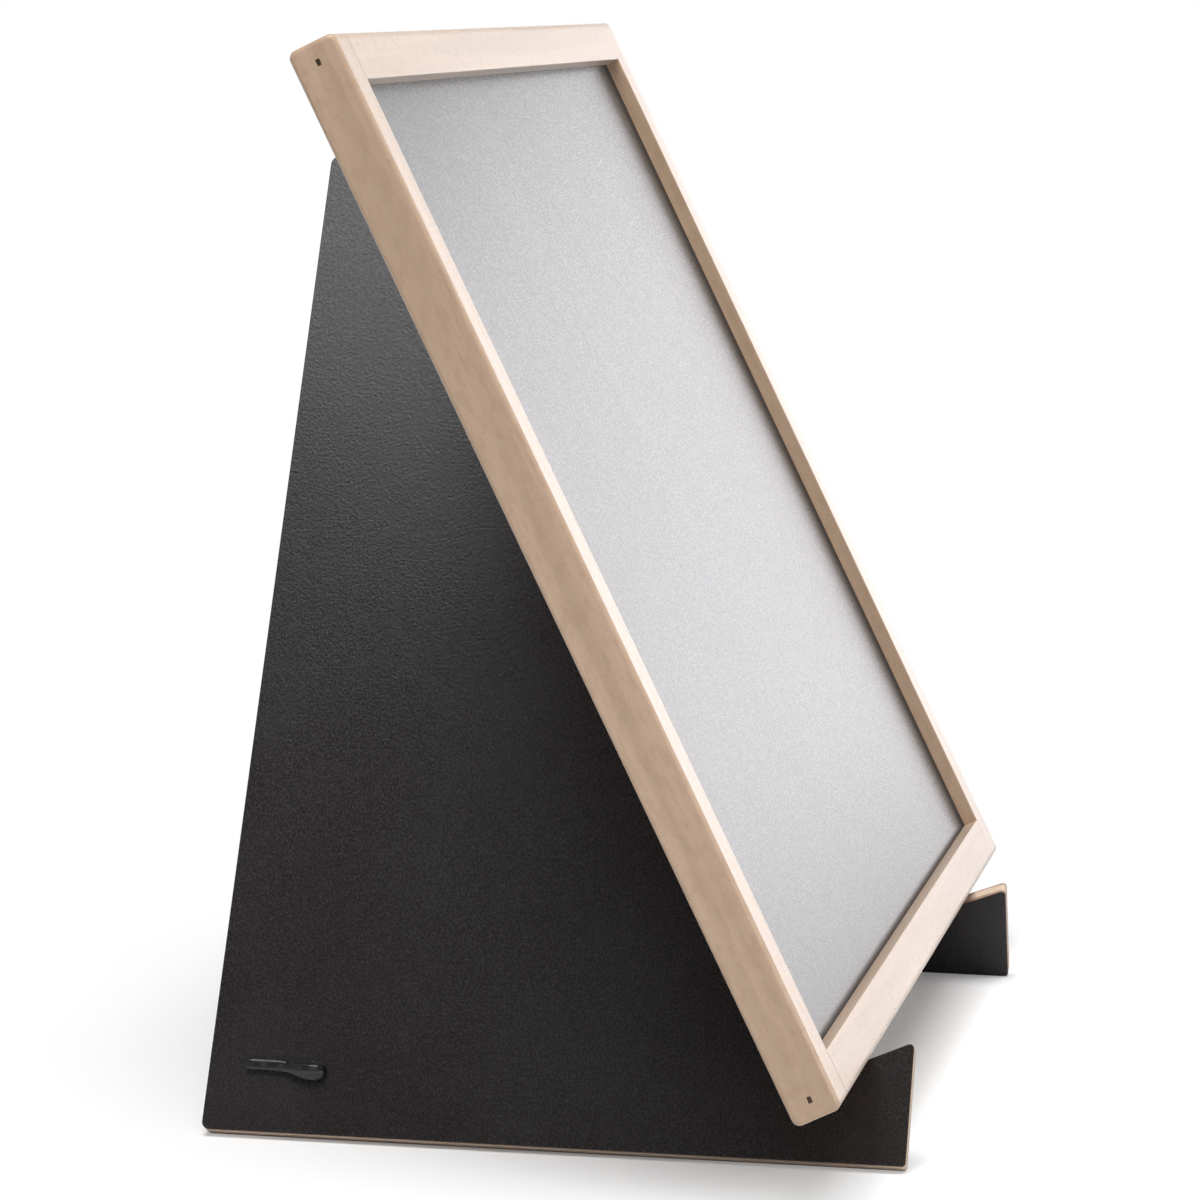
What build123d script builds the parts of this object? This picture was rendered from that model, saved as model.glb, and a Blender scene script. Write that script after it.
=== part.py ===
from build123d import *
from math import acos, cos, degrees, radians, sin, tan
import os

# A tabletop chalkboard. A framed board leans back on a folding stand of two
# black-faced wings, hinged together along their top ridge. A two-link stay
# between the wings stops them from spreading further.
#
# Millimetres. X runs across the board, +X to the right as a reader sees it.
# Y runs from the front to the back, Z up. The origin is on the table, at the
# centre of the stand's footprint.

# Board: square wooden stock round a grooved-in writing panel
view_width = 406.0
view_height = 305.0
stile_width = 15.0
rail_width = 15.0
frame_depth = 15.0
frame_edge_radius = 1.4
frame_end_radius = 2.4
frame_inner_radius = 0.4
panel_thickness = 3.0
panel_recess = 5.0
groove_depth = 5.0
groove_play = 0.08
panel_edge_play = 0.3

# Corner brads, one through each stile end into the rail
brad_length = 28.0
brad_width = 1.2
brad_thickness = 1.0
brad_head_width = 2.0
brad_head_thickness = 1.3
brad_head_depth = 0.8
brad_sink = 0.5
brad_inset = 6.0
brad_play = 0.01

# Stance
board_tilt = 63.5
wing_lean = 27.1
foot_half_spread = 155.0

# Wings, drawn on their outer faces: u to the front, v up the face
wing_thickness = 5.3
wing_length = 214.0
toe_reach = 24.4
toe_height = 38.2
notch_height = 27.0
rear_rake = 0.7
wing_rear_radius = 2.5
wing_front_radius = 1.2
toe_tip_radius = 1.5
notch_radius = 0.6
ridge_corner_radius = 3.0
seat_play = 0.2

# Ridge hinge
hinge_end_margin = 4.3
hinge_leaf_width = 18.0
hinge_leaf_thickness = 1.0
hinge_leaf_gap = 1.4
hinge_leaf_corner = 2.0
knuckle_count = 5
knuckle_radius = 2.2
knuckle_gap = 0.3
knuckle_relief = 0.4
hinge_pin_radius = 1.2
pin_running_play = 0.06
pin_press_play = 0.01
hinge_pin_head_radius = 1.8
hinge_pin_head_height = 0.8
ridge_relief = 0.5

# Hinge rivets, through each leaf and wing
rivet_radius = 1.5
rivet_head_radius = 3.0
rivet_head_height = 1.1
rivet_play = 0.01
rivet_end_inset = 6.0
rivet_upper_drop = 6.5
rivet_lower_drop = 13.5

# Stay anchors, one through a slot in each wing
anchor_rear_inset = 24.4
anchor_height = 20.6
shank_width = 12.0
shank_height = 2.4
shank_play = 0.02
eye_flange_width = 18.0
eye_flange_height = 7.0
eye_flange_thickness = 1.5
eye_flange_corner = 1.5
ear_thickness = 3.0
barrel_radius = 2.6
barrel_relief = 0.5
ear_gap = 0.4

# Outer head of an anchor: a low bar that swells into a rounded thumb end
head_length = 24.6
head_height = 3.5
head_thickness = 1.8
head_cover = 0.5
bulb_length = 13.6
bulb_height = 5.2
bulb_thickness = 4.0
bulb_drop = 1.9
head_edge_radius = 0.5
bulb_edge_radius = 1.4
nib_length = 3.0
nib_height = 0.6
nib_offset = 1.2

# Stay links and pins
link_thickness = 2.4
link_barrel_width = 8.0
fork_width = 18.0
fork_bridge = 55.0
prong_width = 3.6
blade_width = 10.0
link_neck = 0.9
stay_pin_radius = 1.0
mid_rivet_head_radius = 2.0
mid_rivet_head_height = 0.6
folded_half_angle = 1.6

# Frame sizes and the seat on the stand
frame_width = view_width + 2 * stile_width
frame_height = view_height + 2 * rail_width
tilt = radians(board_tilt)
lean = radians(wing_lean)
seat_y = toe_reach - wing_length / 2
seat_z = notch_height * cos(lean) + wing_thickness * sin(lean) + seat_play

board_plane = Plane(
    origin=(0, seat_y, seat_z),
    x_dir=(1, 0, 0),
    z_dir=(0, -sin(tilt), cos(tilt)),
)

# Left wing's outer face. Local x is u, local y is v, local z points outward
wing_plane = Plane(
    origin=(-foot_half_spread, seat_y, wing_thickness * sin(lean)),
    x_dir=(0, -1, 0),
    z_dir=(-cos(lean), 0, sin(lean)),
)

# Ridge axis: midway between the wings, half a closed hinge off each inner face
axis_offset = hinge_leaf_thickness + hinge_leaf_gap / 2
inner_foot_x = foot_half_spread - wing_thickness * cos(lean)
ridge_z = (inner_foot_x - axis_offset / cos(lean)) / tan(lean)
ridge_v = inner_foot_x * sin(lean) + ridge_z * cos(lean)
wing_top = ridge_v - knuckle_radius - ridge_relief

# Outline of a wing. Its long front edge lies along the back of the board
front_slope = cos(lean) / tan(tilt)
edge_play = seat_play / sin(tilt)
rear_u = toe_reach - wing_length
rear_top_u = rear_u + wing_top * tan(radians(rear_rake))
front_top_u = -edge_play - (wing_top - notch_height) * front_slope
wing_outline = [
    (rear_u, 0),
    (toe_reach, 0),
    (toe_reach, toe_height),
    (-edge_play, notch_height),
    (front_top_u, wing_top),
    (rear_top_u, wing_top),
]
wing_corner_radii = [
    wing_rear_radius,
    wing_front_radius,
    toe_tip_radius,
    notch_radius,
    ridge_corner_radius,
    ridge_corner_radius,
]

# Hinge layout along the ridge
ridge_length = front_top_u - rear_top_u
hinge_length = ridge_length - 2 * hinge_end_margin
hinge_u = (front_top_u + rear_top_u) / 2
hinge_y = seat_y - hinge_u
knuckle_pitch = hinge_length / knuckle_count
leaf_edge = ridge_v - knuckle_radius - knuckle_relief
rivet_spots = [
    (hinge_u - hinge_length / 2 + rivet_end_inset, ridge_v - rivet_upper_drop),
    (hinge_u, ridge_v - rivet_lower_drop),
    (hinge_u + hinge_length / 2 - rivet_end_inset, ridge_v - rivet_upper_drop),
]

# Stay pivots
anchor_setback = wing_length - toe_reach - anchor_rear_inset
pivot_depth = eye_flange_thickness + barrel_radius + barrel_relief
pivot_x = inner_foot_x - anchor_height * sin(lean) - pivot_depth * cos(lean)
pivot_z = anchor_height * cos(lean) - pivot_depth * sin(lean)
stay_y = seat_y + anchor_setback
link_length = pivot_x
ear_inner = link_barrel_width / 2 + ear_gap

# Folded stance, which fixes how far each pivot turns
ridge_to_anchor = ridge_v - anchor_height
pivot_overhang = pivot_depth - axis_offset
folded_half_gap = (
    ridge_to_anchor * sin(radians(folded_half_angle))
    - pivot_overhang * cos(radians(folded_half_angle))
)
wing_fold = 2 * (wing_lean - folded_half_angle)
link_fold = degrees(acos(folded_half_gap / link_length)) - wing_fold / 2


def nearest(corners, plane, spot):
    """Return the vertex closest to a local point of a plane."""
    target = plane.from_local_coords(Vector(spot[0], spot[1], 0))
    return min(corners, key=lambda corner: (Vector(corner.X, corner.Y, corner.Z) - target).length)


def knuckle_centres(first):
    """Y positions of every other knuckle, starting from one of them."""
    start = hinge_y - hinge_length / 2 + knuckle_pitch / 2
    return [start + index * knuckle_pitch for index in range(first, knuckle_count, 2)]


# Frame

def make_stile(side):
    """Full-length upright with a stopped groove for the panel."""
    centre_x = side * (view_width + stile_width) / 2
    inner_x = side * view_width / 2
    groove_height = view_height + 2 * groove_depth
    with BuildPart() as stile:
        with BuildSketch(board_plane):
            with Locations((centre_x, frame_height / 2)):
                Rectangle(stile_width, frame_height)
        extrude(amount=frame_depth)
        fillet(stile.edges().filter_by(Axis.X), radius=frame_end_radius)
        outer = stile.edges().filter_by(
            lambda edge: abs(abs(edge.center().X) - frame_width / 2) < 0.01
        )
        fillet(outer, radius=frame_edge_radius)
        long_inner = stile.edges().filter_by(
            lambda edge: abs(edge.center().X - inner_x) < 0.01 and edge.length > view_height
        )
        fillet(long_inner, radius=frame_inner_radius)
        groove_plane = board_plane.offset(frame_depth - panel_recess - panel_thickness - groove_play)
        with BuildSketch(groove_plane):
            with Locations((inner_x, frame_height / 2)):
                Rectangle(2 * groove_depth, groove_height)
        extrude(amount=panel_thickness + 2 * groove_play, mode=Mode.SUBTRACT)
        for height in (brad_inset, frame_height - brad_inset):
            spot = board_plane.from_local_coords(
                Vector(side * frame_width / 2, height, frame_depth / 2)
            )
            brad_plane = Plane(origin=spot, x_dir=board_plane.y_dir, z_dir=(-side, 0, 0))
            with BuildSketch(brad_plane):
                Rectangle(brad_head_width + 2 * brad_play, brad_head_thickness + 2 * brad_play)
            extrude(amount=brad_sink + brad_head_depth, mode=Mode.SUBTRACT)
            with BuildSketch(brad_plane):
                Rectangle(brad_width + 2 * brad_play, brad_thickness + 2 * brad_play)
            extrude(amount=stile_width, mode=Mode.SUBTRACT)
    return stile.part


def make_rail(low):
    """Cross rail between the stiles, grooved on the side of the opening."""
    centre = rail_width / 2 if low else frame_height - rail_width / 2
    opening = rail_width if low else frame_height - rail_width
    outside = 0 if low else frame_height
    with BuildPart() as rail:
        with BuildSketch(board_plane):
            with Locations((0, centre)):
                Rectangle(view_width, rail_width)
        extrude(amount=frame_depth)
        outer = rail.edges().filter_by(
            lambda edge: edge.length > view_width / 2
            and abs(board_plane.to_local_coords(edge.center()).Y - outside) < 0.01
        )
        fillet(outer, radius=frame_end_radius)
        inner = rail.edges().filter_by(
            lambda edge: edge.length > view_width / 2
            and abs(board_plane.to_local_coords(edge.center()).Y - opening) < 0.01
        )
        fillet(inner, radius=frame_inner_radius)
        groove_plane = board_plane.offset(frame_depth - panel_recess - panel_thickness - groove_play)
        with BuildSketch(groove_plane):
            with Locations((0, opening)):
                Rectangle(view_width, 2 * groove_depth)
        extrude(amount=panel_thickness + 2 * groove_play, mode=Mode.SUBTRACT)
        height = brad_inset if low else frame_height - brad_inset
        brad_reach = brad_sink + brad_length - stile_width
        for side in (-1, 1):
            spot = board_plane.from_local_coords(
                Vector(side * view_width / 2, height, frame_depth / 2)
            )
            brad_plane = Plane(origin=spot, x_dir=board_plane.y_dir, z_dir=(-side, 0, 0))
            with BuildSketch(brad_plane):
                Rectangle(brad_width + 2 * brad_play, brad_thickness + 2 * brad_play)
            extrude(amount=brad_reach + brad_play, mode=Mode.SUBTRACT)
    return rail.part


with BuildPart() as left_stile:
    add(make_stile(-1))
left_stile.part.label = "left_stile"

with BuildPart() as right_stile:
    add(make_stile(1))
right_stile.part.label = "right_stile"

with BuildPart() as bottom_rail:
    add(make_rail(True))
bottom_rail.part.label = "bottom_rail"

with BuildPart() as top_rail:
    add(make_rail(False))
top_rail.part.label = "top_rail"

# Writing panel, held in the grooves

with BuildPart() as chalk_panel:
    with BuildSketch(board_plane.offset(frame_depth - panel_recess - panel_thickness)):
        with Locations((0, frame_height / 2)):
            Rectangle(
                view_width + 2 * (groove_depth - panel_edge_play),
                view_height + 2 * (groove_depth - panel_edge_play),
            )
    extrude(amount=panel_thickness)
chalk_panel.part.label = "chalk_panel"

# Corner brads

with BuildPart() as corner_brads:
    for side in (-1, 1):
        for height in (brad_inset, frame_height - brad_inset):
            head_spot = board_plane.from_local_coords(
                Vector(side * (frame_width / 2 - brad_sink), height, frame_depth / 2)
            )
            head_plane = Plane(origin=head_spot, x_dir=board_plane.y_dir, z_dir=(-side, 0, 0))
            with BuildSketch(head_plane):
                Rectangle(brad_head_width, brad_head_thickness)
            extrude(amount=brad_head_depth)
            with BuildSketch(head_plane):
                Rectangle(brad_width, brad_thickness)
            extrude(amount=brad_length)
corner_brads.part.label = "corner_brads"

# Wings

with BuildPart() as left_wing:
    with BuildSketch(wing_plane) as outline:
        with BuildLine():
            Polyline(*wing_outline, close=True)
        make_face()
        for point, radius in zip(wing_outline, wing_corner_radii):
            fillet(nearest(outline.sketch.vertices(), Plane.XY, point), radius=radius)
    extrude(amount=-wing_thickness)
    with BuildSketch(wing_plane):
        with Locations((-anchor_setback, anchor_height)):
            Rectangle(shank_width + 2 * shank_play, shank_height + 2 * shank_play)
    extrude(amount=-wing_thickness, mode=Mode.SUBTRACT)
    with BuildSketch(wing_plane):
        with Locations(*rivet_spots):
            Circle(rivet_radius + rivet_play)
    extrude(amount=-wing_thickness, mode=Mode.SUBTRACT)
left_wing.part.label = "left_wing"

with BuildPart() as right_wing:
    mirror(left_wing.part, about=Plane.YZ)
right_wing.part.label = "right_wing"

# Ridge hinge

def make_leaf(first):
    """Left-hand leaf whose knuckles start from the given one."""
    inner_face = wing_plane.offset(-wing_thickness)
    foot = ridge_v - hinge_leaf_width
    with BuildPart() as leaf:
        with BuildSketch(inner_face) as blank:
            with Locations((hinge_u, (foot + leaf_edge) / 2)):
                Rectangle(hinge_length, leaf_edge - foot)
            lower = blank.sketch.vertices().sort_by(Axis.Y)[:2]
            fillet(lower, radius=hinge_leaf_corner)
        extrude(amount=-hinge_leaf_thickness)
        with BuildSketch(inner_face):
            for centre in knuckle_centres(first):
                with Locations((seat_y - centre, (leaf_edge + ridge_v) / 2)):
                    Rectangle(knuckle_pitch - knuckle_gap, ridge_v - leaf_edge)
        extrude(amount=-hinge_leaf_thickness)
        for centre in knuckle_centres(first):
            near_end = centre - (knuckle_pitch - knuckle_gap) / 2
            with BuildSketch(Plane(origin=(0, near_end, ridge_z), x_dir=(1, 0, 0), z_dir=(0, 1, 0))):
                Circle(knuckle_radius)
            extrude(amount=knuckle_pitch - knuckle_gap)
        bore_play = pin_press_play if first == 0 else pin_running_play
        bore_start = hinge_y - hinge_length / 2
        with BuildSketch(Plane(origin=(0, bore_start, ridge_z), x_dir=(1, 0, 0), z_dir=(0, 1, 0))):
            Circle(hinge_pin_radius + bore_play)
        extrude(amount=hinge_length, mode=Mode.SUBTRACT)
        with BuildSketch(inner_face):
            with Locations(*rivet_spots):
                Circle(rivet_radius + rivet_play)
        extrude(amount=-hinge_leaf_thickness, mode=Mode.SUBTRACT)
    return leaf.part


with BuildPart() as hinge_leaf_left:
    add(make_leaf(0))
hinge_leaf_left.part.label = "hinge_leaf_left"

with BuildPart() as hinge_leaf_right:
    mirror(make_leaf(1), about=Plane.YZ)
hinge_leaf_right.part.label = "hinge_leaf_right"

with BuildPart() as hinge_pin:
    pin_start = hinge_y - hinge_length / 2
    with BuildSketch(Plane(origin=(0, pin_start, ridge_z), x_dir=(1, 0, 0), z_dir=(0, 1, 0))):
        Circle(hinge_pin_radius)
    extrude(amount=hinge_length)
    for end, facing in ((pin_start, -1), (pin_start + hinge_length, 1)):
        with BuildSketch(Plane(origin=(0, end, ridge_z), x_dir=(1, 0, 0), z_dir=(0, facing, 0))):
            Circle(hinge_pin_head_radius)
        extrude(amount=hinge_pin_head_height, taper=20)
hinge_pin.part.label = "hinge_pin"

# Hinge rivets

with BuildPart() as hinge_rivets_left:
    with BuildSketch(wing_plane):
        with Locations(*rivet_spots):
            Circle(rivet_radius)
    extrude(amount=-wing_thickness - hinge_leaf_thickness)
    with BuildSketch(wing_plane):
        with Locations(*rivet_spots):
            Circle(rivet_head_radius)
    extrude(amount=rivet_head_height, taper=35)
hinge_rivets_left.part.label = "hinge_rivets_left"

with BuildPart() as hinge_rivets_right:
    mirror(hinge_rivets_left.part, about=Plane.YZ)
hinge_rivets_right.part.label = "hinge_rivets_right"

# Stay anchors: an eye inside each wing and a head outside, on one shank

anchor_face = wing_plane.offset(-wing_thickness)
anchor_spot = (-anchor_setback, anchor_height)
pivot_point = Vector(-pivot_x, stay_y, pivot_z)
face_up = Vector(sin(lean), 0, cos(lean))

with BuildPart() as stay_eye_left:
    with BuildSketch(anchor_face):
        with Locations(anchor_spot):
            RectangleRounded(eye_flange_width, eye_flange_height, eye_flange_corner)
    extrude(amount=-eye_flange_thickness)
    with BuildSketch(anchor_face):
        with Locations(anchor_spot):
            Rectangle(shank_width, shank_height)
    extrude(amount=wing_thickness + head_thickness - head_cover)
    for near_side in (-ear_inner - ear_thickness, ear_inner):
        ear_plane = Plane(
            origin=pivot_point + Vector(0, near_side, 0),
            x_dir=face_up,
            z_dir=(0, 1, 0),
        )
        reach = ear_plane.to_local_coords(
            wing_plane.from_local_coords(Vector(*anchor_spot, -wing_thickness))
        )
        with BuildSketch(ear_plane):
            Circle(barrel_radius)
            with Locations((0, reach.Y / 2)):
                Rectangle(2 * barrel_radius, abs(reach.Y))
            Circle(stay_pin_radius + pin_press_play, mode=Mode.SUBTRACT)
        extrude(amount=ear_thickness)
stay_eye_left.part.label = "stay_eye_left"

with BuildPart() as stay_eye_right:
    mirror(stay_eye_left.part, about=Plane.YZ)
stay_eye_right.part.label = "stay_eye_right"

outward = Axis(wing_plane.origin, wing_plane.z_dir)

with BuildPart() as stay_head_left:
    bulb_spot = (
        anchor_spot[0] + (head_length - bulb_length) / 2,
        anchor_spot[1] - bulb_drop,
    )
    with BuildSketch(wing_plane):
        with Locations((anchor_spot[0] - head_height / 2, anchor_spot[1])):
            Rectangle(head_length - head_height, head_height)
    extrude(amount=head_thickness)
    bar_top = stay_head_left.faces().sort_by(outward)[-1]
    fillet(bar_top.edges(), radius=head_edge_radius)
    with BuildSketch(wing_plane):
        with Locations(bulb_spot):
            SlotOverall(bulb_length, bulb_height)
    extrude(amount=bulb_thickness)
    bulb_top = stay_head_left.faces().sort_by(outward)[-1]
    fillet(bulb_top.edges(), radius=bulb_edge_radius)
    nib_spot = (anchor_spot[0] + nib_offset, anchor_spot[1] + head_height / 2)
    with BuildSketch(wing_plane):
        with Locations(nib_spot):
            Ellipse(nib_length / 2, nib_height)
    extrude(amount=head_thickness - head_edge_radius)
    with BuildSketch(wing_plane):
        with Locations(anchor_spot):
            Rectangle(shank_width + 2 * shank_play, shank_height + 2 * shank_play)
    extrude(amount=head_thickness - head_cover, mode=Mode.SUBTRACT)
stay_head_left.part.label = "stay_head_left"

with BuildPart() as stay_head_right:
    mirror(stay_head_left.part, about=Plane.YZ)
stay_head_right.part.label = "stay_head_right"

# Stay links. Both lie level between the wings, end to end

def pivot_sketch_plane(x, y):
    """Plane across a stay pivot, facing the back."""
    return Plane(origin=(x, y, pivot_z), x_dir=(1, 0, 0), z_dir=(0, 1, 0))


neck_start = barrel_radius + link_neck

with BuildPart() as stay_fork:
    with BuildSketch(pivot_sketch_plane(-pivot_x, stay_y - link_barrel_width / 2)):
        Circle(barrel_radius)
    extrude(amount=link_barrel_width)
    with BuildSketch(Plane.XY.offset(pivot_z - link_thickness / 2)):
        with Locations((-pivot_x + neck_start / 2, stay_y)):
            Rectangle(neck_start, link_barrel_width)
        with Locations((-pivot_x + (neck_start + fork_bridge) / 2, stay_y)):
            Rectangle(fork_bridge - neck_start, fork_width)
        for side in (-1, 1):
            with Locations((-pivot_x + link_length / 2, stay_y + side * (fork_width - prong_width) / 2)):
                Rectangle(link_length - 2 * neck_start, prong_width)
            with Locations((-neck_start, stay_y + side * (fork_width - prong_width) / 2)):
                Rectangle(2 * neck_start, prong_width)
    extrude(amount=link_thickness)
    for low_side in (-fork_width / 2, fork_width / 2 - prong_width):
        with BuildSketch(pivot_sketch_plane(0, stay_y + low_side)):
            Circle(barrel_radius)
        extrude(amount=prong_width)
    with BuildSketch(pivot_sketch_plane(0, stay_y - fork_width / 2)):
        Circle(stay_pin_radius + pin_press_play)
    extrude(amount=fork_width, mode=Mode.SUBTRACT)
    with BuildSketch(pivot_sketch_plane(-pivot_x, stay_y - link_barrel_width / 2)):
        Circle(stay_pin_radius + pin_running_play)
    extrude(amount=link_barrel_width, mode=Mode.SUBTRACT)
stay_fork.part.label = "stay_fork"

with BuildPart() as stay_blade:
    with BuildSketch(pivot_sketch_plane(pivot_x, stay_y - link_barrel_width / 2)):
        Circle(barrel_radius)
    extrude(amount=link_barrel_width)
    with BuildSketch(Plane.XY.offset(pivot_z - link_thickness / 2)):
        with Locations((pivot_x - neck_start / 2, stay_y)):
            Rectangle(neck_start, link_barrel_width)
        with Locations(((link_length - neck_start) / 2, stay_y)):
            Rectangle(link_length - neck_start, blade_width)
    extrude(amount=link_thickness)
    with BuildSketch(pivot_sketch_plane(0, stay_y - blade_width / 2)):
        Circle(barrel_radius)
    extrude(amount=blade_width)
    for x, width in ((0, blade_width), (pivot_x, link_barrel_width)):
        with BuildSketch(pivot_sketch_plane(x, stay_y - width / 2)):
            Circle(stay_pin_radius + pin_running_play)
        extrude(amount=width, mode=Mode.SUBTRACT)
stay_blade.part.label = "stay_blade"

# Stay pins

with BuildPart() as stay_pin_left:
    with BuildSketch(pivot_sketch_plane(-pivot_x, stay_y - ear_inner - ear_thickness)):
        Circle(stay_pin_radius)
    extrude(amount=2 * (ear_inner + ear_thickness))
stay_pin_left.part.label = "stay_pin_left"

with BuildPart() as stay_pin_right:
    mirror(stay_pin_left.part, about=Plane.YZ)
stay_pin_right.part.label = "stay_pin_right"

with BuildPart() as stay_mid_rivets:
    for side in (-1, 1):
        outer_y = stay_y + side * fork_width / 2
        with BuildSketch(Plane(origin=(0, outer_y, pivot_z), x_dir=(1, 0, 0), z_dir=(0, -side, 0))):
            Circle(stay_pin_radius)
        extrude(amount=prong_width)
        with BuildSketch(Plane(origin=(0, outer_y, pivot_z), x_dir=(1, 0, 0), z_dir=(0, side, 0))):
            Circle(mid_rivet_head_radius)
        extrude(amount=mid_rivet_head_height, taper=25)
stay_mid_rivets.part.label = "stay_mid_rivets"

print("frame", frame_width, "x", frame_height)
print("ridge axis z", ridge_z, "wing fold", wing_fold, "link fold", link_fold)
print("stay pivots x", pivot_x, "y", stay_y, "z", pivot_z)

os.makedirs("parts", exist_ok=True)
export_step(left_stile.part, "parts/left_stile.step")
export_step(right_stile.part, "parts/right_stile.step")
export_step(top_rail.part, "parts/top_rail.step")
export_step(bottom_rail.part, "parts/bottom_rail.step")
export_step(chalk_panel.part, "parts/chalk_panel.step")
export_step(corner_brads.part, "parts/corner_brads.step")
export_step(left_wing.part, "parts/left_wing.step")
export_step(right_wing.part, "parts/right_wing.step")
export_step(hinge_leaf_left.part, "parts/hinge_leaf_left.step")
export_step(hinge_leaf_right.part, "parts/hinge_leaf_right.step")
export_step(hinge_pin.part, "parts/hinge_pin.step")
export_step(hinge_rivets_left.part, "parts/hinge_rivets_left.step")
export_step(hinge_rivets_right.part, "parts/hinge_rivets_right.step")
export_step(stay_eye_left.part, "parts/stay_eye_left.step")
export_step(stay_eye_right.part, "parts/stay_eye_right.step")
export_step(stay_head_left.part, "parts/stay_head_left.step")
export_step(stay_head_right.part, "parts/stay_head_right.step")
export_step(stay_fork.part, "parts/stay_fork.step")
export_step(stay_blade.part, "parts/stay_blade.step")
export_step(stay_pin_left.part, "parts/stay_pin_left.step")
export_step(stay_pin_right.part, "parts/stay_pin_right.step")
export_step(stay_mid_rivets.part, "parts/stay_mid_rivets.step")
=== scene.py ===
import logging
import math
from dataclasses import dataclass, replace
from enum import Enum

import bmesh
import bpy
from mathutils import Matrix, Vector


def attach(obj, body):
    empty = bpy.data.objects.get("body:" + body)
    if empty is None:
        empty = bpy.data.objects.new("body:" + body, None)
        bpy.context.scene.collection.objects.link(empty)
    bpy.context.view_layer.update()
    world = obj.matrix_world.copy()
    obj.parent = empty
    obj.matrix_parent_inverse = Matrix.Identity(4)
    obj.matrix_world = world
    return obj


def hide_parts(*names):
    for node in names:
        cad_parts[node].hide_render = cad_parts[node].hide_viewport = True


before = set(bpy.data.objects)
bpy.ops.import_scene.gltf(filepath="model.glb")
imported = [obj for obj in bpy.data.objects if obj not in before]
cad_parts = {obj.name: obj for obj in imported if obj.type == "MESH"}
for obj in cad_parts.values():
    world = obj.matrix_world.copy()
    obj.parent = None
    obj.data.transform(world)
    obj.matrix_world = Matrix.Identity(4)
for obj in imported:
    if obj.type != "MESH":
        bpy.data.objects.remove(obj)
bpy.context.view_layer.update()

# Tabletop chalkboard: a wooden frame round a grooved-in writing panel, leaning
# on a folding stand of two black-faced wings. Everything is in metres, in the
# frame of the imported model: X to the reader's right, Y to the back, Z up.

Colour = tuple[float, float, float]
Point = tuple[float, float, float]
Material = bpy.types.Material
Socket = bpy.types.NodeSocket

MM = 0.001
CORNER_FACETS = 8  # on a rounded corner of a board
ARRIS_FACETS = 2  # on an eased arris
ROUND = 0.5  # a bevel's profile for a round
LEVEL = 0.99  # least upward share of the normal of a level face
FACING = 0.5  # least upward share of the normal of a face with the face's finish
log = logging.getLogger("chalkboard")


class Side(Enum):
    """Left or right half of the stand, as a sign along X."""

    LEFT = -1
    RIGHT = 1

    @property
    def word(self) -> str:
        """Lower-case name, as the nodes use it."""
        return self.name.lower()


@dataclass(frozen=True)
class Texture:
    """A noise pattern.

    Attributes:
        scale: Repeats per metre, one for all axes or one for each.
        detail: Octaves of finer noise.
        rough: Strength of the finer octaves.
        distortion: How far the pattern is warped.
    """

    scale: float | tuple[float, ...]
    detail: float = 3.0
    rough: float = 0.55
    distortion: float = 0.0


@dataclass(frozen=True)
class Step:
    """A smooth step from one result to another.

    Attributes:
        low: Value where it starts.
        high: Value where it ends, below the start for a step taken backwards.
        bottom: Result at its start.
        top: Result at its end.
    """

    low: float
    high: float
    bottom: float = 0.0
    top: float = 1.0

    def moved(self, shift: float) -> "Step":
        """The same step, further along by a shift."""
        return replace(self, low=self.low + shift, high=self.high + shift)


@dataclass(frozen=True)
class Layer:
    """A noise pattern and what its value gives.

    Attributes:
        texture: The pattern.
        step: Step from its value to a share or a roughness.
    """

    texture: Texture
    step: Step


@dataclass(frozen=True)
class Relief:
    """How far a pattern stands up.

    Attributes:
        depth: Height from its lowest to its highest part.
        strength: Share of that height that shows.
    """

    depth: float
    strength: float


@dataclass(frozen=True)
class Specks:
    """Sparse round specks.

    Attributes:
        scale: Cells per metre.
        size: Radius of a speck, in cells.
        share: Share of the cells that hold one.
        colour: Their colour.
        solid: Share of the radius at full strength.
        full: Share of the chosen cells at full strength.
    """

    scale: float
    size: float
    share: float
    colour: Colour
    solid: float = 0.6
    full: float = 0.8


class Grain(Enum):
    """Direction that the wood's grain runs in, in the board's own axes."""

    UPRIGHT = "upright"
    CROSSWISE = "crosswise"

    def laid(self, texture: Texture) -> Texture:
        """Turns a texture along the grain.

        Args:
            texture: Texture with one scale across the grain and one along it.

        Returns:
            The texture in the board's own axes.
        """
        across, along = texture.scale
        if self is Grain.UPRIGHT:
            return replace(texture, scale=(across, along, across))
        return replace(texture, scale=(along, across, across))


@dataclass(frozen=True)
class LeaningPlane:
    """A flat face of the object, with its own axes.

    Attributes:
        origin: A point on the face.
        turn: Euler angles that turn the row frame's axes into the face's.
    """

    origin: Vector
    turn: Point

    def matrix(self) -> Matrix:
        """Place of the face's axes in the row frame."""
        about_x, about_y, about_z = map(Matrix.Rotation, self.turn, (4, 4, 4), "XYZ")
        return Matrix.Translation(self.origin) @ about_z @ about_y @ about_x


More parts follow.
